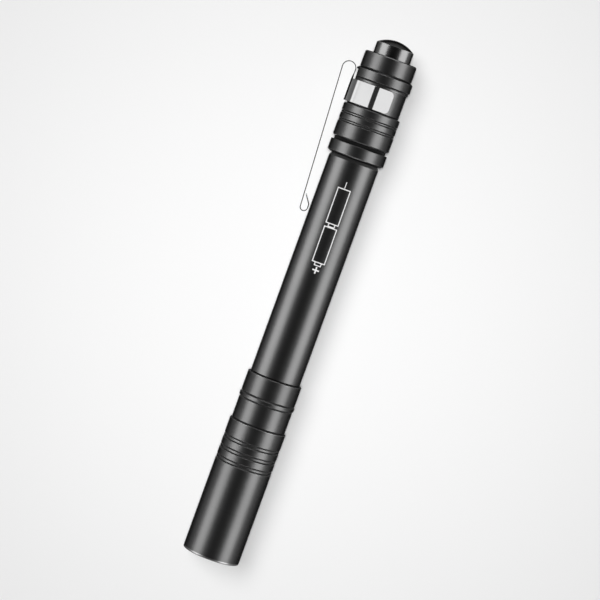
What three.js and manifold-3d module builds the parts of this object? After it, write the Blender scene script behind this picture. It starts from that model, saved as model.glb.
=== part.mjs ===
// Slim flashlight for two AAA cells: a turned aluminium head, tube and tail cap, a push
// button at the tail and a steel pocket clip. Millimetres, +Z up. It lies on its side,
// with the lens towards +X and the clip towards -Y.

import * as THREE from 'three';
import { mergeVertices } from 'three/addons/utils/BufferGeometryUtils.js';
import Module from 'manifold-3d';

const wasm = await Module();
wasm.setup();

// Cells
const cellDiameter = 10.5;
const cellLength = 44.5;
const cellNubDiameter = 3.8;
const cellNubHeight = 1;
const cellWasherWidth = 1.6;
const cellWasherThickness = 0.4;
const cellCount = 2;
const cellEase = 0.2;

// Screw threads at both ends of the tube
const threadPitch = 1;
const threadTurns = 4;
const threadDepth = 0.3;
const threadWall = 0.35;
const threadEase = 0.1;
const threadLead = 0.4;
const threadRunOut = 0.2;
const threadRelief = 0.4;
const tubeNose = 0.5;
const threadCrest = 0.25;
const threadFlank = 0.15;

// Rubber rings at both threads
const ringSection = 0.35;
const ringEase = 0.1;
const ringSideGap = 0.05;
const mouthWall = 0.52;

// Lengths along the outside, from the front rim to the tail
const headLength = 33.95;
const frontBandLength = 5.9;
const ridgeWidth = 1.4;
const rearBandLength = 5;
const tailRingWidth = 3;
const seamWidth = 1;
const capGripLength = 8.3;
const clipNeckWidth = 6.1;
const capBevelWidth = 1;
const capBandWidth = 2;
const capFlareWidth = 0.6;
const capRearLength = 3.8;
const buttonHeight = 4.4;
const buttonDomeRadius = 7.9;

// Steps in the outside, as depths from the largest radius or heights above a neighbour
const gripStep = 0.22;
const frontBandStep = 0.35;
const ridgeHeight = 0.2;
const rearBandRise = 0.05;
const clipNeckDepth = 0.55;
const capBandStep = 0.05;
const capRearStep = 0.6;
const grooveDepth = 0.15;
const headGrooveWidth = 0.8;
const headGroovePitch = 2.7;
const headGrooveCount = 3;
const headGrooveInset = 4.2;
const capGrooveWidth = 0.7;
const capGroovePitch = 2;
const capGrooveCount = 2;
const capGrooveInset = 2.45;
const rimChamfer = 0.35;
const edgeChamfer = 0.25;
const undercutWidth = 0.8;
const undercutDepth = 0.1;

// Optics and light source, front to back
const lipDepth = 1;
const lipWidth = 0.7;
const lensSealThickness = 0.6;
const lensThickness = 1.4;
const lensChamfer = 0.2;
const headFit = 0.1;
const reflectorDepth = 6.85;
const reflectorThroat = 3.8;
const reflectorWall = 0.5;
const reflectorRim = 0.8;
const gasketWidth = 1.1;
const ledWidth = 3.2;
const ledHeight = 0.5;
const ledDomeDiameter = 2.6;
const ledDomeHeight = 1.2;
const ledEase = 0.2;
const ledTopGap = 0.1;
const ledBoardThickness = 1.2;
const ledBoardMargin = 0.3;
const pillLength = 6;
const pillFloor = 1.8;
const pillWall = 0.9;
const driverThickness = 1;
const driverFit = 0.1;
const driverChip = 2.6;
const driverChipHeight = 0.9;
const inductorDiameter = 2.2;
const inductorHeight = 1.6;
const driverSpread = 2;
const leadDiameter = 0.7;
const leadEase = 0.25;
const leadSpread = 8.2;
const leadProud = 0.2;
const contactHeight = 2.6;
const contactFoot = 0.6;
const contactFootDiameter = 4;
const contactDiameter = 2.6;

// Tail switch, front to back
const tailSpringLength = 7.8;
const tailSpringDiameter = 6;
const tailSpringWire = 0.6;
const tailSpringTurns = 5;
const springEndGap = 0.05;
const capNeckWall = 1.1;
const switchFit = 0.1;
const retainerWidth = 1.1;
const retainerThickness = 1.2;
const switchBoardThickness = 1.2;
const housingFlange = 1.2;
const housingShoulder = 0.2;
const housingLength = 3.5;
const housingWall = 2.2;
const switchContactThickness = 0.4;
const chamberDepth = 8.4;
const capLip = 1.3;
const buttonDiameter = 9.4;
const buttonEase = 0.1;
const buttonFlange = 1.2;
const buttonSealThickness = 0.5;
const plungerDiameter = 3.8;
const plungerEase = 0.2;
const plungerReach = 2.2;
const returnSpringTurns = 2.5;
const returnSpringWire = 0.4;
const returnSpringEase = 0.5;

// Pocket clip
const stripThickness = 0.3;
const stripWidth = 5;
const collarEase = 0.06;
const collarSideGap = 0.35;
const collarOpening = 118;
const tabGap = 0.2;
const bendRadius = 1.6;
const bendInset = 1.4;
const legLength = 35.4;
const splitGap = 0.15;
const hookRadius = 0.9;
const hookStraight = 0.7;
const hookBendRadius = 1;
const hookBend = 34;
const hookEnd = 2.4;
const tipGap = 0.28;

// How finely round forms are drawn
const turnedSides = 24;
const smallSides = 16;
const wireSides = 5;
const wireSteps = 8;
const leadSides = 8;
const curveSteps = 6;
const joinTolerance = 1e-3;

// Diameters that follow from the cells outwards
const tubeBore = cellDiameter + 2 * cellEase;
const threadRoot = tubeBore + 2 * threadWall;
const threadOuter = threadRoot + 2 * threadDepth;
const gripDiameter = threadOuter + 2 * gripStep;
const nutInner = threadRoot + 2 * threadEase;
const nutOuter = threadOuter + 2 * threadEase;
const ringInner = threadOuter + 2 * ringEase;
const ringOuter = ringInner + 2 * ringSection;
const ringPocket = ringOuter + 2 * ringEase;
const shellDiameter = ringPocket + 2 * mouthWall;
const frontBandDiameter = shellDiameter - 2 * frontBandStep;
const ridgeDiameter = frontBandDiameter + 2 * ridgeHeight;
const rearBandDiameter = frontBandDiameter + 2 * rearBandRise;
const clipNeckDiameter = shellDiameter - 2 * clipNeckDepth;
const capBandDiameter = shellDiameter - 2 * capBandStep;
const capRearDiameter = shellDiameter - 2 * capRearStep;
const switchBore = clipNeckDiameter - 2 * capNeckWall;
const buttonBore = switchBore - 2 * housingShoulder;
const lensOpening = nutInner - 2 * lipWidth;
const moduleDiameter = nutInner - 2 * headFit;
const switchDiameter = switchBore - 2 * switchFit;

// Places along the axis, measured back from the front rim
const threadLength = threadTurns * threadPitch + threadRelief;
const lensSealFront = lipDepth;
const lensFront = lensSealFront + lensSealThickness;
const reflectorFront = lensFront + lensThickness;
const gasketFront = reflectorFront + reflectorDepth;
const ledBoardFront = gasketFront + ledTopGap + ledHeight;
const pillFront = ledBoardFront + ledBoardThickness;
const pillBack = pillFront + pillLength;
const driverFront = pillBack - driverThickness;
const cellsFront = pillBack + contactHeight;
const cellsBack = cellsFront + cellCount * cellLength;
const switchBoardFront = cellsBack + tailSpringLength;
const switchBoardBack = switchBoardFront + switchBoardThickness;
const shoulder = switchBoardBack + housingFlange;
const housingBack = shoulder + housingLength;
const chamberBack = shoulder + chamberDepth;
const buttonFlangeBack = chamberBack - buttonSealThickness;
const buttonFlangeFront = buttonFlangeBack - buttonFlange;
const capBack = chamberBack + capLip;
const capFlareBack = capBack - capRearLength;
const capBandBack = capFlareBack - capFlareWidth;
const capBandFront = capBandBack - capBandWidth;
const clipNeckBack = capBandFront - capBevelWidth;
const clipNeckFront = clipNeckBack - clipNeckWidth;
const capFront = clipNeckFront - capGripLength;
const tailRingBack = capFront - seamWidth;
const tailRingFront = tailRingBack - tailRingWidth;
const ridgeFront = headLength + frontBandLength;
const ridgeBack = ridgeFront + ridgeWidth;
const gripFront = ridgeBack + rearBandLength;
const tailThreadFront = capFront + threadLead;
const tailThreadBack = tailThreadFront + threadLength;
const tubeBack = tailThreadBack + tubeNose;
const headRingBack = headLength - ringSideGap;
const headRingFront = headRingBack - seamWidth + 2 * ringSideGap;
const headThreadBack = headRingFront - threadLead;
const headThreadFront = headThreadBack - threadLength;
const tubeFront = headThreadFront - tubeNose;
const buttonTop = capBack + buttonHeight;

// Finishes
const paint = (color, roughness, metalness) =>
	new THREE.MeshStandardMaterial({ color, roughness, metalness });
const blackAnodised = paint(0x1d1d1f, 0.38, 0.6);
const blackButton = paint(0x202022, 0.3, 0.4);
const polishedSteel = paint(0xd6d8da, 0.12, 1);
const springSteel = paint(0xb4b6b8, 0.3, 1);
const blackRubber = paint(0x131313, 0.8, 0);
const clearGlass = paint(0xdfeaf0, 0.05, 0);
const silvered = paint(0xe8e8ea, 0.08, 1);
const plainAluminium = paint(0xb9bbbe, 0.4, 1);
const brass = paint(0xc9a24e, 0.3, 1);
const whitePlastic = paint(0xe9e7e0, 0.6, 0);
const blackPlastic = paint(0x18181a, 0.55, 0);
const boardGreen = paint(0x1f5b39, 0.5, 0);
const boardWhite = paint(0xe6e8e6, 0.5, 0);
const chipBlack = paint(0x202224, 0.6, 0);
const phosphorYellow = paint(0xe8cf4c, 0.4, 0);
const redInsulation = paint(0xa8231f, 0.5, 0);
const blackInsulation = paint(0x1b1b1b, 0.5, 0);
const cellJacket = paint(0x3d4650, 0.4, 0.3);
const nickel = paint(0xc6c4be, 0.25, 1);
const fibre = paint(0xd8d2bf, 0.8, 0);

// Body frame: its Y axis runs from the front rim to the tail, so it is laid along -X here.
// The part is centred on its box and stands with a flat side of its largest turned form down.
const light = new THREE.Group();
const barrel = new THREE.Group();
const shellFlat = (shellDiameter / 2) * Math.cos(Math.PI / turnedSides);
const tabPlace = clipNeckDiameter / 2 + collarEase + stripThickness + tabGap + stripThickness / 2;
const legPlace = tabPlace + 2 * bendRadius;
const clipReach = legPlace + stripThickness / 2;
barrel.rotation.z = Math.PI / 2;
barrel.position.set(buttonTop / 2, (clipReach - shellFlat) / 2, shellFlat);
light.add(barrel);

function place(name, geometry, material) {
	const mesh = new THREE.Mesh(geometry, material);
	mesh.name = name;
	barrel.add(mesh);
	return mesh;
}

// One closed surface facing out: shared corners joined, triangles that shrank to a line dropped
function closed(geometry) {
	geometry.deleteAttribute('normal');
	geometry.deleteAttribute('uv');
	const joined = mergeVertices(geometry, joinTolerance);
	const corner = joined.index.array;
	const at = joined.attributes.position;
	const [a, b, c] = [new THREE.Vector3(), new THREE.Vector3(), new THREE.Vector3()];
	const kept = [];
	let volume = 0;
	for (let i = 0; i < corner.length; i += 3) {
		const [p, q, r] = corner.slice(i, i + 3);
		if (p === q || q === r || r === p) continue;
		kept.push(p, q, r);
		a.fromBufferAttribute(at, p);
		b.fromBufferAttribute(at, q);
		c.fromBufferAttribute(at, r);
		volume += a.dot(b.cross(c));
	}
	if (volume < 0) kept.reverse();
	joined.setIndex(kept);
	joined.computeVertexNormals();
	return joined;
}

// Turned form from stations of [radius, place]. A station may also be a function of the share
// of a turn, which gives the rows of a thread. A profile that leaves the axis is closed on itself.
function turned(stations, sides = turnedSides) {
	const rows = stations[0][0] === 0 ? stations : [...stations, stations[0]];
	const plain = rows.map((row) => (typeof row === 'function' ? row(0) : row));
	const outline = plain.map(([radius, along]) => new THREE.Vector2(radius, along));
	const geometry = new THREE.LatheGeometry(outline, sides, Math.PI / sides);
	const at = geometry.attributes.position;
	for (let column = 0; column <= sides; column++) {
		const angle = Math.PI / sides + (column / sides) * 2 * Math.PI;
		rows.forEach((row, i) => {
			if (typeof row !== 'function') return;
			const [radius, along] = row(column / sides);
			at.setXYZ(column * rows.length + i, radius * Math.sin(angle), along, radius * Math.cos(angle));
		});
	}
	return closed(geometry);
}

// Rows of a right-hand thread between two places: four to a turn, each climbing one pitch a turn,
// and held on the plain cylinder where they would run past an end
function threadRows(low, high, start, tooth) {
	const plainRadius = tooth[0][1];
	const rows = [];
	const firstTurn = Math.floor((low - start) / threadPitch) - 2;
	const lastTurn = Math.ceil((high - start) / threadPitch) + 1;
	for (let turn = firstTurn; turn <= lastTurn; turn++) {
		for (const [share, radius] of tooth) {
			rows.push((wound) => {
				const along = start + (turn + wound + share) * threadPitch;
				if (along <= low) return [plainRadius, low];
				if (along >= high) return [plainRadius, high];
				return [radius, along];
			});
		}
	}
	return rows;
}

// One tooth as [share of the pitch, radius]: a ridge standing out of the tube, or one standing into
// a nut, which fills the space between two of the tube's ridges less the clearance
const ridgeEnd = 2 * threadFlank + threadCrest;
const screwTooth = [
	[0, threadRoot / 2],
	[threadFlank, threadOuter / 2],
	[threadFlank + threadCrest, threadOuter / 2],
	[ridgeEnd, threadRoot / 2],
];
const nutSpace = threadEase / threadPitch;
const nutTooth = [
	[ridgeEnd - threadFlank + nutSpace, nutOuter / 2],
	[ridgeEnd + nutSpace, nutInner / 2],
	[1 - nutSpace, nutInner / 2],
	[1 + threadFlank - nutSpace, nutOuter / 2],
];

const ring = (inner, outer, from, to, sides = turnedSides) =>
	turned([[inner / 2, from], [outer / 2, from], [outer / 2, to], [inner / 2, to]], sides);

const disc = (diameter, from, to, sides = turnedSides) =>
	turned([[0, from], [diameter / 2, from], [diameter / 2, to], [0, to]], sides);

// Evenly spaced square grooves in a cylinder, as stations
function grooves(radius, first, pitch, count, width) {
	const stations = [];
	for (let i = 0; i < count; i++) {
		const middle = first + i * pitch;
		stations.push([radius, middle - width / 2], [radius - grooveDepth, middle - width / 2]);
		stations.push([radius - grooveDepth, middle + width / 2], [radius, middle + width / 2]);
	}
	return stations;
}

// A flat outline across the axis, given a thickness along it
function plate(shape, from, to) {
	const geometry = new THREE.ExtrudeGeometry(shape, {
		depth: to - from,
		bevelEnabled: false,
		curveSegments: turnedSides / 2,
	});
	geometry.rotateX(-Math.PI / 2);
	geometry.translate(0, from, 0);
	return closed(geometry);
}

function block(width, from, to) {
	const geometry = new THREE.BoxGeometry(width, to - from, width);
	geometry.translate(0, (from + to) / 2, 0);
	return closed(geometry);
}

function solid(geometry) {
	const mesh = new wasm.Mesh({
		numProp: 3,
		vertProperties: geometry.attributes.position.array,
		triVerts: new Uint32Array(geometry.index.array),
	});
	return new wasm.Manifold(mesh);
}

function cut(geometry, tools) {
	let body = solid(geometry);
	for (const tool of tools) body = body.subtract(solid(tool));
	const mesh = body.getMesh();
	const result = new THREE.BufferGeometry();
	result.setAttribute('position', new THREE.BufferAttribute(mesh.vertProperties, 3));
	result.setIndex(new THREE.BufferAttribute(mesh.triVerts, 1));
	result.computeVertexNormals();
	return result;
}

// Wire wound as one unbroken helix about the axis, with its least gap to itself printed
function coil(name, diameter, wire, turns, from, to) {
	const low = from + wire / 2 + springEndGap;
	const high = to - wire / 2 - springEndGap;
	const steps = Math.ceil(turns * wireSteps);
	const middle = [];
	for (let i = 0; i <= steps; i++) {
		const angle = (i / steps) * turns * 2 * Math.PI;
		const along = low + (i / steps) * (high - low);
		const point = new THREE.Vector3(Math.sin(angle), 0, Math.cos(angle)).multiplyScalar(diameter / 2);
		middle.push(point.setY(along));
	}
	const positions = [];
	const index = [];
	middle.forEach((point, i) => {
		const outward = new THREE.Vector3(point.x, 0, point.z).normalize();
		const upward = new THREE.Vector3(0, 1, 0);
		for (let side = 0; side < wireSides; side++) {
			const angle = (side / wireSides) * 2 * Math.PI;
			const corner = point.clone();
			corner.addScaledVector(outward, (wire / 2) * Math.cos(angle));
			corner.addScaledVector(upward, (wire / 2) * Math.sin(angle));
			positions.push(corner.x, corner.y, corner.z);
			if (i === steps) continue;
			const here = i * wireSides;
			const next = here + ((side + 1) % wireSides);
			const ahead = here + side + wireSides;
			index.push(here + side, next, ahead, next, next + wireSides, ahead);
		}
	});
	const last = steps * wireSides;
	for (let side = 1; side < wireSides - 1; side++) {
		index.push(0, side + 1, side, last, last + side, last + side + 1);
	}
	const geometry = new THREE.BufferGeometry();
	geometry.setAttribute('position', new THREE.Float32BufferAttribute(positions, 3));
	geometry.setIndex(index);
	let gap = Infinity;
	for (let i = 0; i < middle.length; i++) {
		for (let j = i + Math.ceil(wireSteps / 2); j < middle.length; j++) {
			gap = Math.min(gap, middle[i].distanceTo(middle[j]) - wire);
		}
	}
	console.log(`${name} least gap to itself ${gap.toFixed(2)} mm`);
	return closed(geometry);
}

// Sheet strip of even thickness along a bent path of [distance from axis, place], edge on to +Z
function strip(path, width) {
	const points = path.map(([distance, along]) => new THREE.Vector2(-distance, along));
	const left = [];
	const right = [];
	points.forEach((point, i) => {
		const before = points[Math.max(i - 1, 0)];
		const after = points[Math.min(i + 1, points.length - 1)];
		const side = after.clone().sub(before).normalize().multiplyScalar(stripThickness / 2);
		left.push(new THREE.Vector2(point.x - side.y, point.y + side.x));
		right.unshift(new THREE.Vector2(point.x + side.y, point.y - side.x));
	});
	const shape = new THREE.Shape([...left, ...right]);
	const geometry = new THREE.ExtrudeGeometry(shape, { depth: width, bevelEnabled: false });
	geometry.translate(0, 0, -width / 2);
	return closed(geometry);
}

// Points on an arc of [distance, place], angles in degrees from the outward direction
function bend(distance, along, radius, fromAngle, toAngle) {
	const points = [];
	const steps = 2 * curveSteps;
	for (let i = 0; i <= steps; i++) {
		const angle = THREE.MathUtils.degToRad(fromAngle + (i / steps) * (toAngle - fromAngle));
		points.push([distance + radius * Math.cos(angle), along + radius * Math.sin(angle)]);
	}
	return points;
}

// Head
const shellRadius = shellDiameter / 2;
const headNut = tubeFront - threadRunOut;
const firstHeadGroove = headLength - headGrooveInset - (headGrooveCount - 1) * headGroovePitch;
place('head_shell', turned([
	[lensOpening / 2, 0],
	[shellRadius - rimChamfer, 0],
	[shellRadius, rimChamfer],
	...grooves(shellRadius, firstHeadGroove, headGroovePitch, headGrooveCount, headGrooveWidth),
	[shellRadius, headLength - edgeChamfer],
	[shellRadius - edgeChamfer, headLength],
	[ringPocket / 2, headLength],
	[ringPocket / 2, headRingFront - ringSideGap],
	[nutOuter / 2, headRingFront - ringSideGap],
	...threadRows(headNut, headThreadBack - threadEase, headThreadFront, nutTooth).reverse(),
	[nutOuter / 2, headNut],
	[nutInner / 2, headNut],
	[nutInner / 2, lipDepth],
	[lensOpening / 2, lipDepth],
]), blackAnodised);

place('lens_seal', ring(lensOpening, moduleDiameter, lensSealFront, lensFront), blackRubber);

const lensRadius = moduleDiameter / 2;
place('lens', turned([
	[0, lensFront],
	[lensRadius - lensChamfer, lensFront],
	[lensRadius, lensFront + lensChamfer],
	[lensRadius, reflectorFront - lensChamfer],
	[lensRadius - lensChamfer, reflectorFront],
	[0, reflectorFront],
]), clearGlass);

// The reflector is a paraboloid from its throat at the light source to its mouth at the lens
const mouthSquare = (lensOpening / 2) ** 2;
const throatSquare = (reflectorThroat / 2) ** 2;
const reflectorCurve = (share, wall) => [
	Math.sqrt(throatSquare + share * (mouthSquare - throatSquare)) + wall,
	gasketFront - share * reflectorDepth,
];
const rimShare = 1 - reflectorRim / reflectorDepth;
const shares = Array.from({ length: curveSteps + 1 }, (_, i) => i / curveSteps);
place('reflector', turned([
	...shares.map((share) => reflectorCurve(share, 0)),
	[moduleDiameter / 2, reflectorFront],
	[moduleDiameter / 2, reflectorFront + reflectorRim],
	...shares.map((share) => reflectorCurve(share * rimShare, reflectorWall)).reverse(),
]), silvered);

const square = (width) => {
	const half = width / 2;
	const corners = [[-half, -half], [half, -half], [half, half], [-half, half]];
	return corners.map(([x, y]) => new THREE.Vector2(x, y));
};
const gasketShape = new THREE.Shape();
gasketShape.absarc(0, 0, ledWidth / 2 + gasketWidth, 0, 2 * Math.PI);
gasketShape.holes.push(new THREE.Path(square(ledWidth + 2 * ledEase)));
place('led_gasket', plate(gasketShape, gasketFront, ledBoardFront), whitePlastic);

const ledFront = ledBoardFront - ledHeight;
place('led_package', block(ledWidth, ledFront, ledBoardFront), boardWhite);

const domeArc = shares.map((share) => {
	const angle = (share * Math.PI) / 2;
	return [(ledDomeDiameter / 2) * Math.sin(angle), ledFront - ledDomeHeight * Math.cos(angle)];
});
place('led_dome', turned([...domeArc, [0, ledFront]], smallSides), phosphorYellow);

const leadPlaces = [-leadSpread / 2, leadSpread / 2];
const ledBoardShape = new THREE.Shape();
ledBoardShape.absarc(0, 0, moduleDiameter / 2 - ledBoardMargin, 0, 2 * Math.PI);
for (const offset of leadPlaces) {
	const hole = new THREE.Path();
	hole.absarc(offset, 0, leadDiameter / 2 + leadEase, 0, 2 * Math.PI);
	ledBoardShape.holes.push(hole);
}
place('led_board', plate(ledBoardShape, ledBoardFront, pillFront), boardWhite);

const pillRadius = moduleDiameter / 2;
const pillInside = pillRadius - pillWall;
const driverRadius = pillInside + pillWall / 2;
const pillCup = turned([
	[0, pillFront],
	[pillRadius, pillFront],
	[pillRadius, pillBack],
	[driverRadius, pillBack],
	[driverRadius, driverFront],
	[pillInside, driverFront],
	[pillInside, pillFront + pillFloor],
	[0, pillFront + pillFloor],
]);
const leadHoles = leadPlaces.map((offset) => {
	const holeDiameter = leadDiameter + 2 * leadEase;
	const hole = disc(holeDiameter, pillFront - pillFloor, pillFront + 2 * pillFloor, leadSides);
	return hole.translate(offset, 0, 0);
});
place('led_pill', cut(pillCup, leadHoles), plainAluminium);

const leadNames = ['led_lead_negative', 'led_lead_positive'];
const leadColours = [blackInsulation, redInsulation];
leadPlaces.forEach((offset, i) => {
	const lead = disc(leadDiameter, ledBoardFront - leadProud, driverFront, leadSides);
	place(leadNames[i], lead.translate(offset, 0, 0), leadColours[i]);
});

place('driver_board', disc(2 * (driverRadius - driverFit), driverFront, pillBack), boardGreen);
const chip = block(driverChip, driverFront - driverChipHeight, driverFront);
place('driver_chip', chip.translate(-driverSpread, 0, 0), chipBlack);
const inductor = disc(inductorDiameter, driverFront - inductorHeight, driverFront, smallSides);
place('driver_inductor', inductor.translate(driverSpread, 0, 0), chipBlack);

place('positive_contact', turned([
	[0, pillBack],
	[contactFootDiameter / 2, pillBack],
	[contactFootDiameter / 2, pillBack + contactFoot],
	[contactDiameter / 2, pillBack + contactFoot],
	[contactDiameter / 2, cellsFront],
	[0, cellsFront],
], smallSides), brass);

place('head_seal', ring(ringInner, ringOuter, headRingFront, headRingBack), blackRubber);

// Tube, with a male thread at each end
const boreRadius = tubeBore / 2;
const gripRadius = gripDiameter / 2;
place('battery_tube', turned([
	[boreRadius, tubeFront],
	[threadRoot / 2, tubeFront],
	...threadRows(headThreadFront, headThreadBack - threadRelief, headThreadFront, screwTooth),
	[threadRoot / 2, headThreadBack],
	[threadOuter / 2, headThreadBack],
	[threadOuter / 2, headLength],
	[frontBandDiameter / 2, headLength],
	[frontBandDiameter / 2, ridgeFront],
	[ridgeDiameter / 2, ridgeFront],
	[ridgeDiameter / 2, ridgeBack],
	[rearBandDiameter / 2, ridgeBack],
	[rearBandDiameter / 2, gripFront - edgeChamfer],
	[rearBandDiameter / 2 - edgeChamfer, gripFront],
	[gripRadius, gripFront],
	[gripRadius, tailRingFront - undercutWidth],
	[gripRadius - undercutDepth, tailRingFront - undercutWidth],
	[gripRadius - undercutDepth, tailRingFront],
	[shellRadius - edgeChamfer, tailRingFront],
	[shellRadius, tailRingFront + edgeChamfer],
	[shellRadius, tailRingBack - edgeChamfer],
	[shellRadius - edgeChamfer, tailRingBack],
	[threadOuter / 2, tailRingBack],
	[threadOuter / 2, tailThreadFront],
	[threadRoot / 2, tailThreadFront],
	...threadRows(tailThreadFront + threadRelief, tailThreadBack, tailThreadFront, screwTooth),
	[threadRoot / 2, tubeBack],
	[boreRadius, tubeBack],
]), blackAnodised);

// Cells, the front one first: each a jacketed can with a nub on an insulating washer
const cellNames = ['front_cell', 'rear_cell'];
cellNames.forEach((name, i) => {
	const nubFront = cellsFront + i * cellLength;
	const canFront = nubFront + cellNubHeight;
	const canBack = nubFront + cellLength;
	const washerOuter = cellNubDiameter + 2 * cellWasherWidth;
	place(`${name}_can`, disc(cellDiameter, canFront, canBack), cellJacket);
	place(`${name}_washer`, ring(cellNubDiameter + cellEase, washerOuter,
		canFront - cellWasherThickness, canFront, smallSides), fibre);
	place(`${name}_cap`, disc(cellNubDiameter, nubFront, canFront, smallSides), nickel);
});

// Tail cap and what it holds
const tailRingSeat = capFront - ringSideGap;
place('tail_seal', ring(ringInner, ringOuter, tailRingBack + ringSideGap, tailRingSeat), blackRubber);

const buttonHole = buttonDiameter + 2 * buttonEase;
const capNut = tubeBack + threadRunOut;
const retainerFront = switchBoardFront - retainerThickness;
place('tail_cap', turned([
	[nutOuter / 2, capFront],
	[shellRadius - edgeChamfer, capFront],
	[shellRadius, capFront + edgeChamfer],
	...grooves(shellRadius, clipNeckFront - capGrooveInset - (capGrooveCount - 1) * capGroovePitch,
		capGroovePitch, capGrooveCount, capGrooveWidth),
	[shellRadius, clipNeckFront - edgeChamfer],
	[shellRadius - edgeChamfer, clipNeckFront],
	[clipNeckDiameter / 2, clipNeckFront],
	[clipNeckDiameter / 2, clipNeckBack],
	[capBandDiameter / 2, capBandFront],
	[capBandDiameter / 2, capBandBack],
	[capRearDiameter / 2, capFlareBack],
	[capRearDiameter / 2, capBack - edgeChamfer],
	[capRearDiameter / 2 - edgeChamfer, capBack],
	[buttonHole / 2, capBack],
	[buttonHole / 2, chamberBack],
	[buttonBore / 2, chamberBack],
	[buttonBore / 2, shoulder],
	[switchBore / 2, shoulder],
	[switchBore / 2, capNut],
	[nutOuter / 2, capNut],
	...threadRows(tailThreadFront + threadEase, capNut, tailThreadFront, nutTooth).reverse(),
]), blackAnodised);

place('retaining_ring', ring(switchDiameter - 2 * retainerWidth, switchDiameter,
	retainerFront, switchBoardFront), brass);
place('switch_board', disc(switchDiameter, switchBoardFront, switchBoardBack), boardGreen);
place('tail_spring', coil('tail_spring', tailSpringDiameter, tailSpringWire, tailSpringTurns,
	cellsBack, switchBoardFront), springSteel);

const housingBore = plungerDiameter + 2 * plungerEase;
place('switch_housing', turned([
	[housingBore / 2, switchBoardBack],
	[switchDiameter / 2, switchBoardBack],
	[switchDiameter / 2, shoulder],
	[housingBore / 2 + housingWall, shoulder],
	[housingBore / 2 + housingWall, housingBack],
	[housingBore / 2, housingBack],
]), blackPlastic);
place('switch_contact', disc(plungerDiameter, switchBoardBack,
	switchBoardBack + switchContactThickness, smallSides), brass);
place('switch_plunger', disc(plungerDiameter, housingBack - plungerReach,
	buttonFlangeFront, smallSides), whitePlastic);
place('switch_spring', coil('switch_spring', plungerDiameter + 2 * returnSpringEase + returnSpringWire,
	returnSpringWire, returnSpringTurns, housingBack, buttonFlangeFront), springSteel);

const buttonRadius = buttonDiameter / 2;
const domeEdge = Math.asin(buttonRadius / buttonDomeRadius);
const buttonArc = shares.map((share) => {
	const angle = (1 - share) * domeEdge;
	return [buttonDomeRadius * Math.sin(angle), buttonTop - buttonDomeRadius * (1 - Math.cos(angle))];
});
place('button', turned([
	[0, buttonFlangeFront],
	[buttonBore / 2 - buttonEase, buttonFlangeFront],
	[buttonBore / 2 - buttonEase, buttonFlangeBack],
	[buttonRadius, buttonFlangeBack],
	...buttonArc,
]), blackButton);
place('button_seal', ring(buttonHole, buttonBore - 2 * buttonEase,
	buttonFlangeBack, chamberBack), blackRubber);

// Pocket clip: a C-shaped collar in the cap's neck, and a strip fixed to its outside that turns
// back over a bend and runs forward to a hooked tip resting near the tube
const collarInner = clipNeckDiameter / 2 + collarEase;
const collarFront = clipNeckFront + collarSideGap;
const collarBack = clipNeckBack - collarSideGap;
const halfOpening = THREE.MathUtils.degToRad(collarOpening / 2);
const collarShape = new THREE.Shape();
collarShape.absarc(0, 0, collarInner + stripThickness, halfOpening, 2 * Math.PI - halfOpening, false);
collarShape.absarc(0, 0, collarInner, 2 * Math.PI - halfOpening, halfOpening, true);
place('clip_collar', plate(collarShape, collarFront, collarBack), polishedSteel);

const bendPlace = capBandBack - bendInset;
place('clip_root', strip([
	[tabPlace, collarFront],
	...bend(tabPlace + bendRadius, bendPlace, bendRadius, 180, 0),
], stripWidth), polishedSteel);

const hookInside = gripRadius + tipGap + stripThickness / 2;
const hookPlace = bendPlace - legLength;
const hookTurn = THREE.MathUtils.degToRad(hookBend);
const hookLast = bend(hookInside + hookBendRadius, hookPlace + hookStraight, hookBendRadius,
	180, 180 - hookBend);
const [endDistance, endPlace] = hookLast[hookLast.length - 1];
place('clip_arm', strip([
	[legPlace, bendPlace - splitGap],
	...bend(hookInside + hookRadius, hookPlace, hookRadius, 0, -180),
	...hookLast,
	[endDistance + hookEnd * Math.sin(hookTurn), endPlace + hookEnd * Math.cos(hookTurn)],
], stripWidth), polishedSteel);

export default light;
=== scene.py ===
import math
from math import cos, pi, radians, sin

import bmesh
import bpy
from mathutils import Matrix, Vector


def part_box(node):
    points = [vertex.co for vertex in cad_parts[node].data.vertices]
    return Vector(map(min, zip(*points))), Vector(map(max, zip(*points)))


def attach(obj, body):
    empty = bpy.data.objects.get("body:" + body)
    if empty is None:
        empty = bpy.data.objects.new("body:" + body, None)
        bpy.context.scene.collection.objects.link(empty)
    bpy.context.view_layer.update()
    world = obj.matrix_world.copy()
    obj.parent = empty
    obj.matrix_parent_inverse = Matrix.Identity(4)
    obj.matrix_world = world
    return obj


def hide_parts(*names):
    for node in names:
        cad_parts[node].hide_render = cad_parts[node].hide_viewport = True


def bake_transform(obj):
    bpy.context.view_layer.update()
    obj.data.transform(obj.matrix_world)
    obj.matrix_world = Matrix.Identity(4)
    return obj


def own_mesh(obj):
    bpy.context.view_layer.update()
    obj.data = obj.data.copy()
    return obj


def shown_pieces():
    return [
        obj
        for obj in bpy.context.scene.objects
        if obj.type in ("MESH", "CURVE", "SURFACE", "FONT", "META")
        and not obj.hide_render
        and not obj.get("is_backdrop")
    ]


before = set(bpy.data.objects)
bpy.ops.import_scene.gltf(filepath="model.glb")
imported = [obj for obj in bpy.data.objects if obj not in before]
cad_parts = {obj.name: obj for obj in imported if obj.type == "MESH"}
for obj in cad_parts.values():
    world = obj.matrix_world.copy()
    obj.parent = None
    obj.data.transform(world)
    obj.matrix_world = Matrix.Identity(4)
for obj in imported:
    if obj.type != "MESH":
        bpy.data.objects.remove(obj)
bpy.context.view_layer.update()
print("frame loaded:", len(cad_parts), "nodes")

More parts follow.
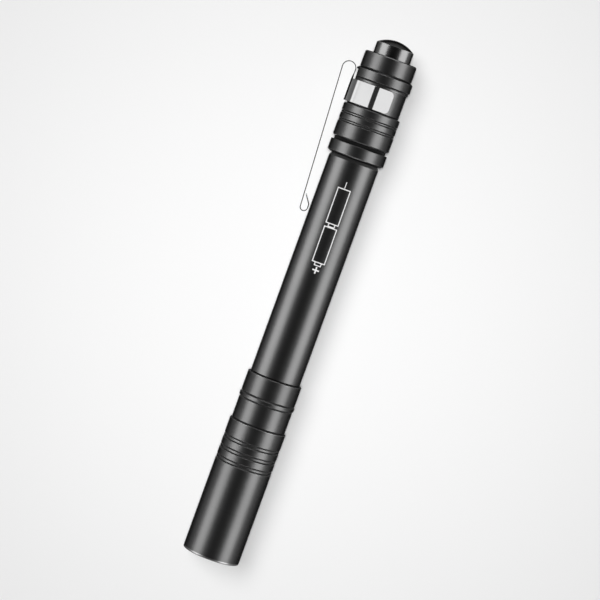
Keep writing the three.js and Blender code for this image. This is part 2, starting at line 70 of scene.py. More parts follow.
# The barrel's axis and front rim come from the head's box, and lengths below are in millimetres
mm = 0.001
headLow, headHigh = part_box("head_shell")
frontX = headHigh.x
axisY = (headLow.y + headHigh.y) / 2
axisZ = (headLow.z + headHigh.z) / 2
solidSides = 24  # the turned solids, with a flat side down
smoothSides = 96  # the same forms here


# Front and back of a solid, measured back from the front rim
def endsOf(node):
    low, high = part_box(node)
    return (frontX - high.x) / mm, (frontX - low.x) / mm


def radiusOf(node):
    low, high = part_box(node)
    return (high.z - low.z) / 2 / mm / cos(pi / solidSides)


shell = radiusOf("head_shell")
headBack = endsOf("head_shell")[1]
tubeFront, tubeBack = endsOf("battery_tube")
capFront, capBack = endsOf("tail_cap")


def onAxis(radius, place, angle):
    # place is measured back from the front rim, angle from +Y over the top
    return Vector((
        frontX - place * mm,
        axisY + radius * mm * cos(angle),
        axisZ + radius * mm * sin(angle),
    ))


def newObject(name, data):
    made = bpy.data.objects.new(name, data)
    bpy.context.scene.collection.objects.link(made)
    return made


# Shader maths as plain expressions
def mathsNode(operation, swapped=False):
    def apply(wire, other):
        first, second = (other, wire) if swapped else (wire, other)
        return wire.tree.node("ShaderNodeMath", {"operation": operation}, {0: first, 1: second})
    return apply


class Wire:
    def __init__(self, tree, socket):
        self.tree = tree
        self.socket = socket

    def out(self, name):
        return Wire(self.tree, self.socket.node.outputs[name])

    __add__ = mathsNode("ADD")
    __radd__ = mathsNode("ADD", True)
    __sub__ = mathsNode("SUBTRACT")
    __rsub__ = mathsNode("SUBTRACT", True)
    __mul__ = mathsNode("MULTIPLY")
    __rmul__ = mathsNode("MULTIPLY", True)
    __pow__ = mathsNode("POWER")
    __gt__ = mathsNode("GREATER_THAN")
    __lt__ = mathsNode("LESS_THAN")
    atLeast = mathsNode("MAXIMUM")


class NodeTree:
    def __init__(self, tree):
        self.tree = tree
        self.tree.nodes.clear()

    def node(self, kind, settings=None, sockets=None):
        made = self.tree.nodes.new(kind)
        for key, value in (settings or {}).items():
            setattr(made, key, value)
        for key, value in (sockets or {}).items():
            if isinstance(value, Wire):
                self.tree.links.new(value.socket, made.inputs[key])
            else:
                made.inputs[key].default_value = value
        return Wire(self, made.outputs[0]) if made.outputs else None

    def place(self):
        return self.node("ShaderNodeTexCoord").out("Object")

    def along(self, axis="X"):
        return self.node("ShaderNodeSeparateXYZ", None, {0: self.place()}).out(axis)

    def noise(self, size, detail=2.0, rough=0.5):
        sockets = {"Vector": self.place(), "Scale": 1 / size, "Detail": detail, "Roughness": rough}
        return self.node("ShaderNodeTexNoise", None, sockets).out("Fac")

    def bands(self, size, detail=2.0):
        sockets = {"W": self.along(), "Scale": 1 / size, "Detail": detail}
        return self.node("ShaderNodeTexNoise", {"noise_dimensions": "1D"}, sockets).out("Fac")

    def wear(self):
        return self.node("ShaderNodeAttribute", {"attribute_name": "wear"}).out("Fac")

    def blend(self, share, first, second):
        sockets = {"Factor": share, 6: asColour(first), 7: asColour(second)}
        settings = {"data_type": "RGBA", "clamp_factor": True}
        return self.node("ShaderNodeMix", settings, sockets).out(2)

    # 0 to 1 between two values
    def share(self, value, low, high, ease="SMOOTHSTEP"):
        sockets = {"Value": value, "From Min": low, "From Max": high}
        return self.node("ShaderNodeMapRange", {"interpolation_type": ease}, sockets)

    def bump(self, height, depth):
        return self.node("ShaderNodeBump", None, {"Height": height, "Distance": depth, "Strength": 1.0})

    def finish(self, sockets):
        shader = self.node("ShaderNodeBsdfPrincipled", None, sockets)
        self.node("ShaderNodeOutputMaterial", None, {"Surface": shader})


def asColour(value):
    return (*value, 1) if isinstance(value, tuple) and len(value) == 3 else value


def grey(level):
    return (level, level, level)


def newFinish(name):
    material = bpy.data.materials.new(name)
    material.use_nodes = True
    return material, NodeTree(material.node_tree)


# Settings by name, one row each
def table(keys, rows):
    return {name: dict(zip(keys, row)) for name, row in rows.items()}


# Black anodising: a satin grain over the turning marks, brighter where an edge is broken, dull in a recess
blackShell = {
    "dark": grey(0.032), "light": grey(0.050), "edge": grey(0.30), "recess": grey(0.04),
    "grazing": grey(0.2),
    "roughness": 0.37, "grainSpread": 0.07, "coarseSpread": 0.04, "edgePolish": 0.05,
    "recessRoughness": 0.25, "recessMatt": 0.9, "cloud": 0.018,
    "grain": 8e-5, "grainDepth": 1.2e-6, "turning": 1.2e-4, "coarseTurning": 6e-4,
}
blackButton = dict(blackShell, dark=grey(0.066), light=grey(0.078), roughness=0.26)


def anodised(name, look):
    material, tree = newFinish(name)
    grain = tree.noise(look["grain"], 3.0)
    cloud = tree.noise(look["cloud"], 3.0)
    marks = tree.bands(look["turning"])
    coarse = tree.bands(look["coarseTurning"], 4.0)
    worn = tree.wear()
    edge = worn.atLeast(0.0)
    recess = (0.0 - worn).atLeast(0.0)
    colour = tree.blend(0.7 * cloud + 0.3 * coarse, look["dark"], look["light"])
    colour = tree.blend(recess, colour, look["recess"])
    colour = tree.blend(edge * (0.4 + 0.6 * cloud), colour, look["edge"])
    rough = look["roughness"] + (grain - 0.5) * look["grainSpread"] + (coarse - 0.5) * look["coarseSpread"]
    rough = rough - edge * look["edgePolish"] + recess * look["recessRoughness"]
    tree.finish({
        "Base Color": colour,
        "Roughness": rough,
        "Metallic": 1.0 - recess * look["recessMatt"],
        "Specular Tint": asColour(look["grazing"]),
        "Normal": tree.bump(0.6 * grain + 0.4 * marks, look["grainDepth"]),
    })
    return material


# Bright metals: fine lines round the piece, with faint rubbed patches
brightMetals = table(("dark", "light", "roughness", "spread", "grain", "depth"), {
    "clipSteel": ((0.50, 0.50, 0.505), grey(0.62), 0.2, 0.08, 2e-4, 5e-7),
    "springSteel": ((0.45, 0.45, 0.46), (0.62, 0.62, 0.63), 0.3, 0.1, 2e-4, 1e-6),
    "brass": ((0.60, 0.42, 0.16), (0.78, 0.60, 0.28), 0.28, 0.12, 3e-4, 1e-6),
    "nickel": ((0.58, 0.57, 0.54), (0.72, 0.71, 0.68), 0.25, 0.1, 2e-4, 1e-6),
    "plainAluminium": ((0.60, 0.61, 0.62), (0.74, 0.75, 0.76), 0.34, 0.1, 1.5e-4, 2e-6),
    "reflectorBright": ((0.86, 0.87, 0.88), (0.93, 0.93, 0.94), 0.06, 0.03, 6e-4, 3e-6),
})
rubbedPatch = 0.004


def brightMetal(name):
    look = brightMetals[name]
    material, tree = newFinish(name)
    fine = tree.noise(look["grain"], 3.0)
    rubbed = tree.noise(rubbedPatch, 4.0, 0.6)
    lines = tree.bands(look["grain"] * 0.6)
    tree.finish({
        "Base Color": tree.blend(rubbed, look["dark"], look["light"]),
        "Roughness": look["roughness"] + (rubbed - 0.5) * look["spread"] + (fine - 0.5) * 0.03,
        "Metallic": 1.0,
        "Normal": tree.bump(0.5 * fine + 0.5 * lines, look["depth"]),
    })
    return material


# The collar is polished; on its side beside the tab it gets a painted reflection of shaded floor: a darker,
# streaky grey, and rougher
collarLook = {
    "dark": (0.84, 0.84, 0.845), "light": grey(0.93), "roughness": 0.07, "spread": 0.04,
    "grain": 1.5e-4, "depth": 2e-7,
    "shadedSidePlace": -5.85, "shadedSideBlur": 0.12, "paintedShadeDark": grey(0.08), "paintedShadeLight": grey(0.13),
    "shadedSideRoughness": 0.5, "paintedShadeStreak": 5e-4,
}


def collarMetal():
    look = collarLook
    material, tree = newFinish("collarSteel")
    fine = tree.noise(look["grain"], 3.0)
    rubbed = tree.noise(rubbedPatch, 4.0, 0.6)
    streak = tree.noise(look["paintedShadeStreak"], 2.0)
    edge = axisY + look["shadedSidePlace"] * mm
    blur = look["shadedSideBlur"] * mm
    # painted shade: past this place the polished steel turns to a dark grey, a painted reflection of shaded
    # floor
    wall = tree.share(tree.along("Y"), edge + blur, edge - blur, "LINEAR")
    polished = tree.blend(rubbed, look["dark"], look["light"])
    paintedShade = tree.blend(streak, look["paintedShadeDark"], look["paintedShadeLight"])
    smooth = look["roughness"] + (rubbed - 0.5) * look["spread"]
    tree.finish({
        "Base Color": tree.blend(wall, polished, paintedShade),
        "Roughness": smooth + wall * (look["shadedSideRoughness"] - look["roughness"]),
        "Metallic": 1.0,
        "Normal": tree.bump(fine, look["depth"]),
    })
    return material


# Plastics, rubber, ceramic, card: a mottled colour with a moulded grain
plainStuffs = table(("dark", "light", "roughness", "grain", "depth", "shine"), {
    # black rubber, painted darker than its own colour: painted shade of the seam gaps the rings sit in
    "blackRubber": (grey(0.006), grey(0.012), 0.85, 1.2e-4, 6e-6, 0.06),
    "whitePlastic": ((0.74, 0.73, 0.70), (0.84, 0.83, 0.80), 0.5, 2e-4, 4e-6, 0.5),
    "blackPlastic": ((0.018, 0.018, 0.019), (0.034, 0.034, 0.035), 0.48, 2e-4, 5e-6, 0.5),
    "ledCeramic": ((0.78, 0.78, 0.75), (0.86, 0.86, 0.84), 0.4, 8e-5, 2e-6, 0.5),
    "chipBlack": ((0.016, 0.016, 0.018), (0.036, 0.036, 0.040), 0.58, 6e-5, 3e-6, 0.5),
    "ferriteGrey": ((0.09, 0.09, 0.095), (0.16, 0.16, 0.17), 0.66, 8e-5, 6e-6, 0.5),
    "fibreCard": ((0.62, 0.58, 0.48), (0.78, 0.74, 0.64), 0.85, 3e-4, 1.2e-5, 0.5),
    "redSleeve": ((0.36, 0.02, 0.016), (0.50, 0.035, 0.03), 0.42, 3e-4, 4e-6, 0.5),
    "blackSleeve": (grey(0.012), grey(0.028), 0.42, 3e-4, 4e-6, 0.5),
    "whiteInk": (grey(0.84), grey(0.90), 0.55, 6e-5, 2e-6, 0.5),
})
plainPatch = 0.003


def plainStuff(name):
    look = plainStuffs[name]
    material, tree = newFinish(name)
    grain = tree.noise(look["grain"], 4.0, 0.6)
    mottle = tree.noise(plainPatch, 3.0)
    tree.finish({
        "Base Color": tree.blend(0.7 * mottle + 0.3 * grain, look["dark"], look["light"]),
        "Roughness": look["roughness"] + (mottle - 0.5) * 0.1 + (grain - 0.5) * 0.08,
        "Specular IOR Level": look["shine"],
        "Normal": tree.bump(grain, look["depth"]),
    })
    return material


lensLook = {"clean": 0.015, "smeared": 0.09, "smear": 0.0025, "ior": 1.5, "tint": (0.96, 0.985, 0.99)}


def lensGlass():
    look = lensLook
    material, tree = newFinish("lensGlass")
    smear = tree.noise(look["smear"], 4.0, 0.6) ** 3.0
    tree.finish({
        "Base Color": asColour(look["tint"]),
        "Roughness": look["clean"] + smear * (look["smeared"] - look["clean"]),
        "Transmission Weight": 1.0,
        "IOR": look["ior"],
    })
    return material


phosphorLook = {"pale": (0.90, 0.78, 0.30), "deep": (0.78, 0.60, 0.10), "grain": 9e-5, "depth": 3e-6,
                "softness": 0.25, "softReach": 4e-4, "coat": 0.6}


def phosphor():
    look = phosphorLook
    material, tree = newFinish("ledPhosphor")
    grain = tree.noise(look["grain"], 3.0)
    tree.finish({
        "Base Color": tree.blend(grain, look["deep"], look["pale"]),
        "Roughness": 0.22 + grain * 0.1,
        "Subsurface Weight": look["softness"],
        "Subsurface Scale": look["softReach"],
        "Coat Weight": look["coat"],
        "Normal": tree.bump(grain, look["depth"]),
    })
    return material


# Circuit boards: lacquer over copper tracks that show as a slightly lighter net
boardLooks = {
    "boardGreen": {"lacquer": (0.012, 0.10, 0.045), "track": (0.03, 0.19, 0.085), "cell": 0.0016},
    "boardWhite": {"lacquer": (0.74, 0.75, 0.74), "track": (0.82, 0.82, 0.80), "cell": 0.0022},
}
board = {"trackWidth": 0.12, "patch": 0.001, "depth": 1e-5}


def circuitBoard(name):
    look = boardLooks[name]
    material, tree = newFinish(name)
    sockets = {"Vector": tree.place(), "Scale": 1 / look["cell"], "Randomness": 0.6}
    settings = {"feature": "DISTANCE_TO_EDGE", "distance": "MANHATTAN"}
    net = tree.node("ShaderNodeTexVoronoi", settings, sockets)
    track = net < board["trackWidth"]
    mottle = tree.noise(board["patch"], 3.0)
    colour = tree.blend(track, look["lacquer"], look["track"])
    tree.finish({
        "Base Color": tree.blend(mottle * 0.35, colour, look["track"]),
        "Roughness": 0.36 + mottle * 0.12,
        "Normal": tree.bump(track * 0.8 + mottle * 0.2, board["depth"]),
    })
    return material


# Cell jacket: a dark sleeve with a copper coloured band at the positive end
jacketLook = {"sleeve": (0.020, 0.024, 0.030), "sheen": (0.04, 0.046, 0.055), "band": (0.55, 0.30, 0.14),
              "bandShare": 0.22, "patch": 0.002, "depth": 6e-6}


def cellJacket(name, node):
    look = jacketLook
    low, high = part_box(node)
    material, tree = newFinish(name)
    mottle = tree.noise(look["patch"], 3.0)
    banded = tree.along() > high.x - look["bandShare"] * (high.x - low.x)
    sleeve = tree.blend(mottle, look["sleeve"], look["sheen"])
    tree.finish({
        "Base Color": tree.blend(banded, sleeve, look["band"]),
        "Metallic": banded * 0.8,
        "Roughness": 0.3 + mottle * 0.12,
        "Normal": tree.bump(mottle, look["depth"]),
    })
    return material


finishes = {
    "anodised": anodised("blackAnodised", blackShell),
    "button": anodised("blackButton", blackButton),
    "collarSteel": collarMetal(),
    "lensGlass": lensGlass(),
    "ledPhosphor": phosphor(),
    "frontJacket": cellJacket("frontJacket", "front_cell_can"),
    "rearJacket": cellJacket("rearJacket", "rear_cell_can"),
}
kinds = ((brightMetals, brightMetal), (plainStuffs, plainStuff), (boardLooks, circuitBoard))
for looks, makeFinish in kinds:
    finishes.update({name: makeFinish(name) for name in looks})
print("finishes made:", len(finishes))


# Outlines of turned pieces: corners of (radius, place, rounding), run so that the metal is on the left
holdWidth = 0.05
arcStep = radians(20)
leastTurn = 0.01
flatShare = 0.45  # the most of a flat that one rounding takes up
weldGap = 1e-7


# Rows of (radius, place, wear), with wear up to 1 on a rounded edge or as a corner's last value says
def rounded(corners, loop=False):
    rows = []
    for i, (radius, place, size, *given) in enumerate(corners):
        here = Vector((radius, place))
        plain = given[0] if given else 0.0
        back = Vector(corners[i - 1][:2]) - here
        ahead = Vector(corners[(i + 1) % len(corners)][:2]) - here
        atEnd = not loop and i in (0, len(corners) - 1)
        turn = 0.0 if size == 0 or atEnd else pi - back.angle(ahead)
        if turn < leastTurn:
            rows.append((radius, place, plain))
            continue
        reach = min(size * math.tan(turn / 2), flatShare * back.length, flatShare * ahead.length)
        fillet = reach / math.tan(turn / 2)
        back.normalize()
        ahead.normalize()
        centre = here + (back + ahead).normalized() * fillet / cos(turn / 2)
        convex = back.y * ahead.x - back.x * ahead.y > 0
        start = here + back * reach - centre
        steps = max(2, math.ceil(turn / arcStep))
        for k in range(steps + 1):
            angle = turn * k / steps * (1 if convex else -1)
            turned = start.copy()
            turned.rotate(Matrix.Rotation(angle, 2))
            point = centre + turned
            worn = sin(pi * k / steps) if convex and not given else plain
            rows.append((point.x, point.y, worn))
    return held(rows, loop)


# Long flats get a row close to each end, so that the shading of a rounded edge stays at the edge
def held(rows, loop):
    result = []
    count = len(rows)
    for i, row in enumerate(rows):
        result.append(row)
        if not loop and i == count - 1:
            break
        here = Vector(row[:2])
        following = rows[(i + 1) % count]
        gap = Vector(following[:2]) - here
        if gap.length > 6 * holdWidth:
            near = here + gap * (holdWidth / gap.length)
            far = here + gap * (1 - holdWidth / gap.length)
            worn = min(0.0, max(row[2], following[2]))
            result += [(near.x, near.y, worn), (far.x, far.y, worn)]
    return result


# Rows of a right-hand thread, four to a turn, each climbing one pitch a turn
def threadRows(low, high, start, tooth):
    pitch = screw["pitch"]
    plain = tooth[0][1]

    def threadRow(first, radius):
        def at(wound):
            place = first + wound * pitch
            return radius if low < place < high else plain, min(max(place, low), high), 0.0
        return at

    turns = range(math.floor((low - start) / pitch) - 2, math.ceil((high - start) / pitch) + 2)
    return [threadRow(start + (turn + share) * pitch, radius) for turn in turns for share, radius in tooth]


def lathe(name, rows, loop=True, sides=smoothSides):
    form = bmesh.new()
    worn = form.verts.layers.float.new("wear")
    grid = []
    for column in range(sides + 1):
        share = column / sides
        angle = 2 * pi * share
        line = []
        for row in rows:
            radius, place, wear = row(share) if callable(row) else row
            vert = form.verts.new(onAxis(radius, place, angle))
            vert[worn] = wear
            line.append(vert)
        grid.append(line)
    count = len(rows) if loop else len(rows) - 1
    for column in range(sides):
        for i in range(count):
            j = (i + 1) % len(rows)
            form.faces.new((grid[column][i], grid[column][j], grid[column + 1][j], grid[column + 1][i]))
    bmesh.ops.remove_doubles(form, verts=form.verts, dist=weldGap)
    return meshPiece(name, form)


def meshPiece(name, form, sharpAngle=40):
    bmesh.ops.recalc_face_normals(form, faces=form.faces)
    mesh = bpy.data.meshes.new(name)
    form.to_mesh(mesh)
    form.free()
    mesh.shade_smooth()
    mesh.set_sharp_from_angle(angle=radians(sharpAngle))
    return newObject(name, mesh)


def setFinish(mesh, finish):
    mesh.materials.clear()
    mesh.materials.append(finishes[finish])


def dress(piece, finish, slot, body, *nodes):
    setFinish(piece.data, finish)
    if body:
        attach(piece, body)
    if nodes:
        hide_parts(*nodes)
    print("piece", piece.name, len(piece.data.polygons), "faces")
    return piece


# Thread shared by the tube's two ends, the head and the cap
screw = {
    "root": 5.8, "crest": 6.1, "nutRoot": 6.2, "nutCrest": 5.9, "pitch": 1.0,
    "flank": 0.15, "flat": 0.25, "ease": 0.1,
}
ridgeEnd = 2 * screw["flank"] + screw["flat"]
screwTooth = [
    (0.0, screw["root"]),
    (screw["flank"], screw["crest"]),
    (screw["flank"] + screw["flat"], screw["crest"]),
    (ridgeEnd, screw["root"]),
]
nutTooth = [
    (ridgeEnd - screw["flank"] + screw["ease"], screw["nutRoot"]),
    (ridgeEnd + screw["ease"], screw["nutCrest"]),
    (1 - screw["ease"], screw["nutCrest"]),
    (1 + screw["flank"] - screw["ease"], screw["nutRoot"]),
]


# Turned lines: a V cut, and a ring groove as a low floor between two of them
cut = {"width": 0.34, "depth": 0.16, "edge": 0.02, "shoulder": 0.15, "dull": -0.2}


# From one radius to another, with the V's foot between and dull walls
def cutCorners(front, place, back, width):
    foot = min(front, back) - cut["depth"]
    near = cut["shoulder"]
    dull = cut["dull"]
    reach = width / 2
    return [
        (front, place - reach, cut["edge"]),
        (front + (foot - front) * near, place - reach * (1 - near), 0.0, dull),
        (foot, place, 0.0, dull),
        (back + (foot - back) * near, place + reach * (1 - near), 0.0, dull),
        (back, place + reach, cut["edge"]),
    ]


def grooveCorners(radius, first, pitch, count, width, depth, line):
    corners = []
    reach = (width - line) / 2
    for i in range(count):
        middle = first + i * pitch
        corners += cutCorners(radius, middle - reach, radius - depth, line)
        corners += cutCorners(radius - depth, middle + reach, radius, line)
    return corners


# Head: chamfered rim, three shallow rings near the back, nut thread inside
head = {
    "opening": 5.2, "rim": 0.35, "rimWear": 0.4, "wornBack": 0.5, "back": headBack + 0.12, "backEdge": 0.05,
    "groove": {"first": headBack - 9.84, "pitch": 2.7, "count": 3, "width": 1.22, "depth": 0.06,
               "line": 0.42},
    "bore": 5.9, "lip": 1.0, "ringBore": 6.65, "ringFront": headBack - 1.0,
    "nutFront": headBack - 6.45, "nutBack": headBack - 1.45, "threadStart": headBack - 5.75,
}


def makeHead():
    outside = [
        (head["bore"], head["lip"], 0.05),
        (head["opening"], head["lip"], 0.08),
        (head["opening"], 0.0, 0.1),
        (shell, 0.0, head["rim"], head["rimWear"]),
        (shell, head["wornBack"], 0.0, head["rimWear"]),
        *grooveCorners(shell, **head["groove"]),
        (shell, head["back"] - head["backEdge"], 0.08),
        (shell - head["backEdge"], head["back"], 0.06),
        (head["ringBore"], head["back"], 0.06),
        (head["ringBore"], head["ringFront"], 0.04),
        (screw["nutRoot"], head["ringFront"], 0.04),
        (screw["nutRoot"], head["nutBack"], 0.0),
    ]
    thread = threadRows(head["nutFront"], head["nutBack"], head["threadStart"], nutTooth)
    inside = [(screw["nutRoot"], head["nutFront"], 0.0), (head["bore"], head["nutFront"], 0.0)]
    piece = lathe("headShell", rounded(outside) + thread[::-1] + inside)
    return dress(piece, "anodised", "anodised_black", "head", "head_shell")


# Tube: two bands and a ridge behind the head, a plain grip, a raised ring, a thread at each end
tube = {
    "bore": 5.45, "frontThread": (tubeFront + 0.5, tubeFront + 4.5), "frontRelief": tubeFront + 4.9,
    "band": shell - 0.35, "bandFoot": headBack + 0.3, "bandLine": headBack + 0.58,
    "ridge": shell - 0.15, "ridgeFront": headBack + 5.95, "ridgeBack": headBack + 7.25, "ridgeCut": 0.5,
    "rearBand": shell - 0.3, "gripFront": headBack + 12.45, "gripEdge": 0.1,
    "grip": 6.32, "gripFoot": headBack + 12.52,
    "relief": 0.42, "reliefFront": capFront - 4.85, "reliefFoot": capFront - 4.15,
    "ringFront": capFront - 3.8, "ringBack": capFront - 0.9, "ringEdge": 0.1,
    "backThread": (capFront + 0.8, capFront + 4.8), "backStart": capFront + 0.4,
    "edge": 0.25, "soft": 0.08,
}


# Three objects on one body, so that the grip takes soft boxes of its own
def makeTube():
    soft = tube["soft"]
    edge = tube["edge"]
    dull = cut["dull"]
    root = screw["root"]
    crest = screw["crest"]
    bandFloor = tube["band"] - cut["depth"]
    gripFloor = tube["grip"] - cut["depth"]
    reliefFloor = tube["grip"] - tube["relief"]
    bands = [
        (root, tube["frontThread"][1], 0.0),
        (root, tube["frontRelief"], 0.04),
        (crest, tube["frontRelief"], 0.04),
        (crest, headBack, 0.04),
        (bandFloor, headBack, 0.0, dull),
        (bandFloor, tube["bandFoot"], 0.0, dull),
        (tube["band"], tube["bandLine"], cut["edge"]),
        *cutCorners(tube["band"], tube["ridgeFront"], tube["ridge"], tube["ridgeCut"]),
        *cutCorners(tube["ridge"], tube["ridgeBack"], tube["rearBand"], tube["ridgeCut"]),
        (tube["rearBand"], tube["gripFront"] - tube["gripEdge"], soft),
        (tube["rearBand"] - tube["gripEdge"], tube["gripFront"], soft),
        (gripFloor, tube["gripFront"], 0.0, dull),
    ]
    grip = [
        (gripFloor, tube["gripFront"], 0.0, dull),
        (gripFloor, tube["gripFoot"], 0.0, dull),
        (tube["grip"], tube["gripFoot"] + cut["width"], cut["edge"]),
        (tube["grip"], tube["reliefFront"], 0.02, dull),
        (reliefFloor, tube["reliefFoot"], 0.0, dull),
    ]
    ring = [
        (reliefFloor, tube["reliefFoot"], 0.0, dull),
        (shell - edge, tube["ringFront"], soft),
        (shell, tube["ringFront"] + edge, soft),
        (shell, tube["ringBack"] - tube["ringEdge"], soft, dull),
        (shell - tube["ringEdge"], tube["ringBack"], soft, dull),
        (crest, tube["ringBack"], 0.05),
        (crest, tube["backStart"], 0.04),
        (root, tube["backStart"], 0.04),
        (root, tube["backThread"][0], 0.0),
    ]
    frontThread = threadRows(*tube["frontThread"], tube["frontThread"][0], screwTooth)
    backThread = threadRows(*tube["backThread"], tube["backStart"], screwTooth)
    nose = [(tube["bore"], tubeFront, 0.0), (root, tubeFront, 0.0)]
    tail = [(root, tubeBack, 0.0), (tube["bore"], tubeBack, 0.0)]
    gripEnds = [(tube["bore"], tube["gripFront"], 0.0), (tube["bore"], tube["reliefFoot"], 0.0)]
    parts = {
        "tubeBands": (nose + frontThread + rounded(bands) + gripEnds[:1], []),
        "batteryTube": (gripEnds[:1] + rounded(grip) + gripEnds[1:], ["battery_tube"]),
        "tubeRing": (gripEnds[1:] + rounded(ring) + backThread + tail, []),
    }
    return [dress(lathe(name, rows), "anodised", "anodised_black", "barrel", *nodes)
            for name, (rows, nodes) in parts.items()]


# Tail cap: two rings, the clip's neck, a bevelled band, a plain rear
cap = {
    "edge": 0.25, "soft": 0.08,
    "groove": {"first": capFront + 4.02, "pitch": 2.05, "count": 2, "width": 0.86, "depth": 0.06,
               "line": 0.34},
    "neck": shell - 0.55, "neckFront": capFront + 8.3, "neckEdge": 0.2, "neckBack": capFront + 14.35,
    "ledge": shell - 0.3, "ledgeBack": capFront + 14.96, "ledgeCut": 0.46,
    "band": shell - 0.05, "flatBack": capFront + 16.8, "bandBack": capFront + 17.25,
    "flat": 6.62, "flatBlend": 0.1,
    "rear": shell - 0.6, "rearFront": capFront + 17.75, "rearCut": 0.12, "rearLine": capFront + 17.92,
    "buttonHole": 4.8, "chamber": 5.32, "chamberBack": capBack - 1.3,
    "shoulder": capFront + 12.1, "switchBore": 5.52,
    "nutBack": capFront + 5.5, "threadStart": capFront + 0.4, "threadFront": capFront + 0.5,
}


def makeCap():
    edge = cap["edge"]
    soft = cap["soft"]
    dull = cut["dull"]
    outside = [
        (screw["nutRoot"], cap["threadFront"], 0.0),
        (screw["nutRoot"], capFront, 0.08),
        (shell - edge, capFront, soft, dull),
        (shell, capFront + edge, soft, dull),
        *grooveCorners(shell, **cap["groove"]),
        (shell, cap["neckFront"] - cap["neckEdge"], soft, dull),
        (shell - cap["neckEdge"], cap["neckFront"], soft, dull),
        (cap["neck"] - cut["depth"], cap["neckFront"], 0.0, dull),
        (cap["neck"], cap["neckFront"] + cut["width"], cut["edge"]),
        (cap["neck"], cap["neckBack"], 0.05),
        (cap["ledge"], cap["neckBack"], 0.06),
        *cutCorners(cap["ledge"], cap["ledgeBack"], cap["band"], cap["ledgeCut"]),
        (cap["band"], cap["flatBack"], 0.0),
        (cap["band"], cap["flatBack"] + cap["flatBlend"], 0.0),
        (cap["band"], cap["bandBack"], 0.06),
        (cap["rear"] - cap["rearCut"], cap["rearFront"], 0.0, dull),
        (cap["rear"], cap["rearLine"], cut["edge"]),
        (cap["rear"], capBack - edge, soft),
        (cap["rear"] - edge, capBack, soft),
        (cap["buttonHole"], capBack, 0.08),
        (cap["buttonHole"], cap["chamberBack"], 0.03),
        (cap["chamber"], cap["chamberBack"], 0.03),
        (cap["chamber"], cap["shoulder"], 0.03),
        (cap["switchBore"], cap["shoulder"], 0.03),
        (cap["switchBore"], cap["nutBack"], 0.05),
        (screw["nutRoot"], cap["nutBack"], 0.0),
    ]
    thread = threadRows(cap["threadFront"], cap["nutBack"], cap["threadStart"], nutTooth)
    piece = lathe("tailCap", rounded(outside) + thread[::-1])
    # a flat across the band where the clip bends past it
    lowX = frontX - (cap["flatBack"] + cap["flatBlend"] / 2) * mm
    highX = frontX - cap["neckBack"] * mm
    flatY = axisY - cap["flat"] * mm
    for vert in piece.data.vertices:
        if lowX < vert.co.x < highX and vert.co.y < flatY:
            vert.co.y = flatY
    return dress(piece, "anodised", "anodised_black", "cap", "tail_cap")


# Push button: a flange behind the cap's lip, a plain stem, a shallow dome with a rolled edge
buttonFront, buttonTop = endsOf("button")
button = {
    "flange": radiusOf("button"), "flangeBack": buttonFront + 1.2, "stem": 4.7,
    "domeRadius": 7.9, "edge": 0.3, "domeSteps": 10,
}


def makeButton():
    edgeAngle = math.asin(button["stem"] / button["domeRadius"])
    corners = [
        (0.0, buttonFront, 0.0),
        (button["flange"], buttonFront, 0.1),
        (button["flange"], button["flangeBack"], 0.1),
        (button["stem"], button["flangeBack"], 0.1),
    ]
    for k in range(button["domeSteps"] + 1):
        angle = edgeAngle * (1 - k / button["domeSteps"])
        radius = button["domeRadius"] * sin(angle)
        place = buttonTop - button["domeRadius"] * (1 - cos(angle))
        corners.append((radius, place, button["edge"] if k == 0 else 0.0))
    piece = lathe("pushButton", rounded(corners), False)
    return dress(piece, "button", "button_black", "push_button", "button")


# Rubber rings
rings = table(("inner", "edge", "body", "node"), {
    "headRing": (6.2, 0.15, "head_ring", "head_seal"),
    "tailRing": (6.2, 0.15, "tail_ring", "tail_seal"),
    "lensRing": (5.2, 0.12, "head", "lens_seal"),
})


def makeRing(name):
    ring = rings[name]
    front, back = endsOf(ring["node"])
    outer = radiusOf(ring["node"])
    corners = [
        (ring["inner"], front, ring["edge"]),
        (outer, front, ring["edge"]),
        (outer, back, ring["edge"]),
        (ring["inner"], back, ring["edge"]),
    ]
    piece = lathe(name, rounded(corners, True))
    return dress(piece, "blackRubber", "rubber_black", ring["body"], ring["node"])


# Lens, reflector and the light source's dome
lensFront, lensBack = endsOf("lens")
reflectorFront, reflectorBack = endsOf("reflector")
domeTop, domeBase = endsOf("led_dome")
lens = {"radius": radiusOf("lens"), "chamfer": 0.2, "soft": 0.05}
reflector = {
    "mouth": 5.2, "throat": 1.9, "wall": 0.5, "rim": 0.8, "flange": radiusOf("reflector"), "steps": 18,
}
dome = {"radius": 1.3, "steps": 12, "sides": 48}


def makeLens():
    face = lens["radius"] - lens["chamfer"]
    corners = [
        (0.0, lensFront, 0.0),
        (face, lensFront, lens["soft"]),
        (lens["radius"], lensFront + lens["chamfer"], lens["soft"]),
        (lens["radius"], lensBack - lens["chamfer"], lens["soft"]),
        (face, lensBack, lens["soft"]),
        (0.0, lensBack, 0.0),
    ]
    piece = lathe("lensDisc", rounded(corners), False)
    return dress(piece, "lensGlass", "lens_glass", "head", "lens")


def reflectorCurve(share, wall):
    throatSquare = reflector["throat"] ** 2
    radius = math.sqrt(throatSquare + share * (reflector["mouth"] ** 2 - throatSquare))
    return radius + wall, reflectorBack - share * (reflectorBack - reflectorFront), 0.0


def makeReflector():
    steps = reflector["steps"]
    rimShare = 1 - reflector["rim"] / (reflectorBack - reflectorFront)
    inner = [reflectorCurve(k / steps, 0.0) for k in range(steps + 1)]
    outer = [reflectorCurve(k / steps * rimShare, reflector["wall"]) for k in range(steps + 1)]
    flange = [
        (reflector["flange"], reflectorFront, 0.0),
        (reflector["flange"], reflectorFront + reflector["rim"], 0.0),
    ]
    piece = lathe("reflectorCup", inner + flange + outer[::-1])
    return dress(piece, "reflectorBright", "reflector_bright", "head", "reflector")


